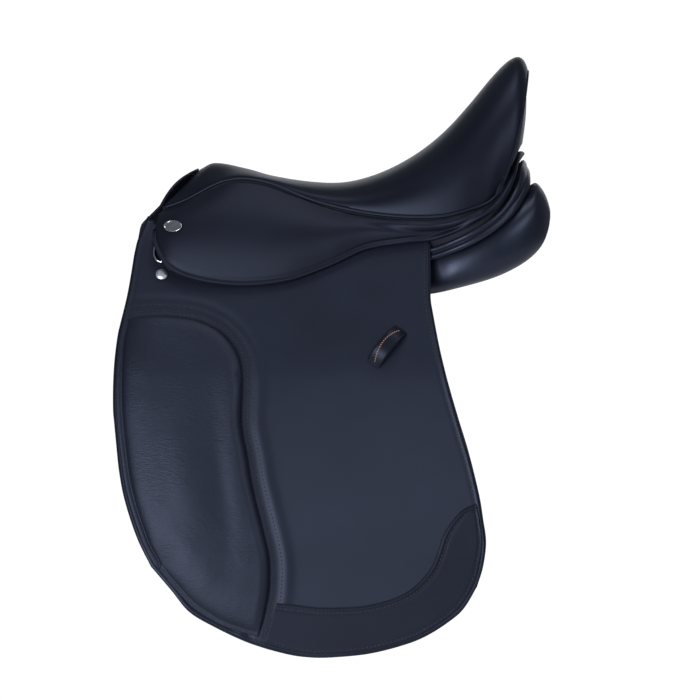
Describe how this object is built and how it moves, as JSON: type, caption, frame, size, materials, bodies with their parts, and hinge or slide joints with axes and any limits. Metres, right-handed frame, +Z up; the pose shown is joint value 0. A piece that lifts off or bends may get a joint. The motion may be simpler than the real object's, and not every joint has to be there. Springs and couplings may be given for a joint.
{
  "type": "english saddle",
  "caption": "English dressage saddle with a deep padded seat, long straight flaps with knee pads, skirts over stirrup bars and two stuffed panels.",
  "frame": {"origin": "on the centre plane between the panels, level with their bearing edges under the rider, where the horse's back carries the saddle", "axes": "+Z up, -X towards the horse's head, -Y to the near (left) side; the saddle is as it sits on a horse"},
  "size_m": [0.5041, 0.4478, 0.6927],
  "materials": {
    "foam": "moulded seat foam",
    "leather": "smooth black calf leather with a low sheen",
    "lining": "plain black leather, matt",
    "nickel": "polished nickel plate",
    "soft_leather": "soft grained black leather over padding",
    "steel": "bare forged steel, dulled",
    "tree": "laminated beech",
    "webbing": "woven webbing",
    "wool": "wool flocking"
  },
  "bodies": {
    "saddle": {"tree": "tree", "head_plate": "steel", "gullet_plate": "steel", "seat_foam": "foam", "seat_cover": "leather", "pommel_facing": "leather", "cantle_facing": "leather", "skirt_left": "leather", "flap_head_left": "leather", "sweat_flap_left": "lining", "panel_cover_left": "leather", "panel_flocking_left": "wool", "panel_band_left": "leather", "billet_web_left": "webbing", "seat_web_left": "webbing", "spring_steel_left": "steel", "stirrup_bar_left": "steel", "catch_pin_left": "steel", "bar_rivet_front_left": "steel", "bar_rivet_rear_left": "steel", "dee_chape_left": "leather", "stud_left": "nickel", "badge_left": "nickel", "skirt_right": "leather", "flap_head_right": "leather", "sweat_flap_right": "lining", "panel_cover_right": "leather", "panel_flocking_right": "wool", "panel_band_right": "leather", "billet_web_right": "webbing", "seat_web_right": "webbing", "spring_steel_right": "steel", "stirrup_bar_right": "steel", "catch_pin_right": "steel", "bar_rivet_front_right": "steel", "bar_rivet_rear_right": "steel", "dee_chape_right": "leather", "stud_right": "nickel", "badge_right": "nickel"},
    "flap_left": {"flap_left": "leather", "knee_pad_left": "soft_leather", "grip_patch_left": "leather", "keeper_left": "leather"},
    "skirt_lobe_left": {"skirt_lobe_left": "leather"},
    "billet_front_left": {"billet_front_left": "lining"},
    "billet_rear_left": {"billet_rear_left": "lining"},
    "dee_ring_left": {"dee_ring_left": "nickel"},
    "bar_catch_left": {"bar_catch_left": "steel"},
    "flap_right": {"flap_right": "leather", "knee_pad_right": "soft_leather", "grip_patch_right": "leather", "keeper_right": "leather"},
    "skirt_lobe_right": {"skirt_lobe_right": "leather"},
    "billet_front_right": {"billet_front_right": "lining"},
    "billet_rear_right": {"billet_rear_right": "lining"},
    "dee_ring_right": {"dee_ring_right": "nickel"},
    "bar_catch_right": {"bar_catch_right": "steel"}
  },
  "joints": [
    {"name": "flap_lift_left", "type": "hinge", "parent": "saddle", "child": "flap_left", "pos_m": [0, -0.13297, -0.0005], "axis": [-0.9976, 0.0694, 0], "range_deg": [0, 80]},
    {"name": "skirt_lift_left", "type": "hinge", "parent": "saddle", "child": "skirt_lobe_left", "pos_m": [-0.206, -0.1095, 0.066], "axis": [-0.9968, 0.0701, 0.0389], "range_deg": [0, 50]},
    {"name": "billet_front_swing_left", "type": "hinge", "parent": "saddle", "child": "billet_front_left", "pos_m": [-0.034, -0.1065, 0.036], "axis": [0, -0.9743, 0.2251], "range_deg": [-5, 5]},
    {"name": "billet_rear_swing_left", "type": "hinge", "parent": "saddle", "child": "billet_rear_left", "pos_m": [0.03, -0.1065, 0.036], "axis": [0, -0.9743, 0.2251], "range_deg": [-5, 5]},
    {"name": "dee_swing_left", "type": "hinge", "parent": "saddle", "child": "dee_ring_left", "pos_m": [-0.18873, -0.09791, 0.05789], "axis": [-0.8251, 0.32, 0.4657], "range_deg": [0, 8]},
    {"name": "catch_turn_left", "type": "hinge", "parent": "saddle", "child": "bar_catch_left", "pos_m": [-0.04606, -0.11708, 0.055], "axis": [-0.079, -0.9969, 0], "range_deg": [0, 60]},
    {"name": "flap_lift_right", "type": "hinge", "parent": "saddle", "child": "flap_right", "pos_m": [0, 0.13297, -0.0005], "axis": [0.9976, 0.0694, 0], "range_deg": [0, 80]},
    {"name": "skirt_lift_right", "type": "hinge", "parent": "saddle", "child": "skirt_lobe_right", "pos_m": [-0.206, 0.1095, 0.066], "axis": [0.9968, 0.0701, -0.0389], "range_deg": [0, 50]},
    {"name": "billet_front_swing_right", "type": "hinge", "parent": "saddle", "child": "billet_front_right", "pos_m": [-0.034, 0.1065, 0.036], "axis": [0, -0.9743, -0.2251], "range_deg": [-5, 5]},
    {"name": "billet_rear_swing_right", "type": "hinge", "parent": "saddle", "child": "billet_rear_right", "pos_m": [0.03, 0.1065, 0.036], "axis": [0, -0.9743, -0.2251], "range_deg": [-5, 5]},
    {"name": "dee_swing_right", "type": "hinge", "parent": "saddle", "child": "dee_ring_right", "pos_m": [-0.18873, 0.09791, 0.05789], "axis": [0.8251, 0.32, -0.4657], "range_deg": [0, 8]},
    {"name": "catch_turn_right", "type": "hinge", "parent": "saddle", "child": "bar_catch_right", "pos_m": [-0.04606, 0.11708, 0.055], "axis": [0.079, -0.9969, 0], "range_deg": [0, 60]}
  ]
}
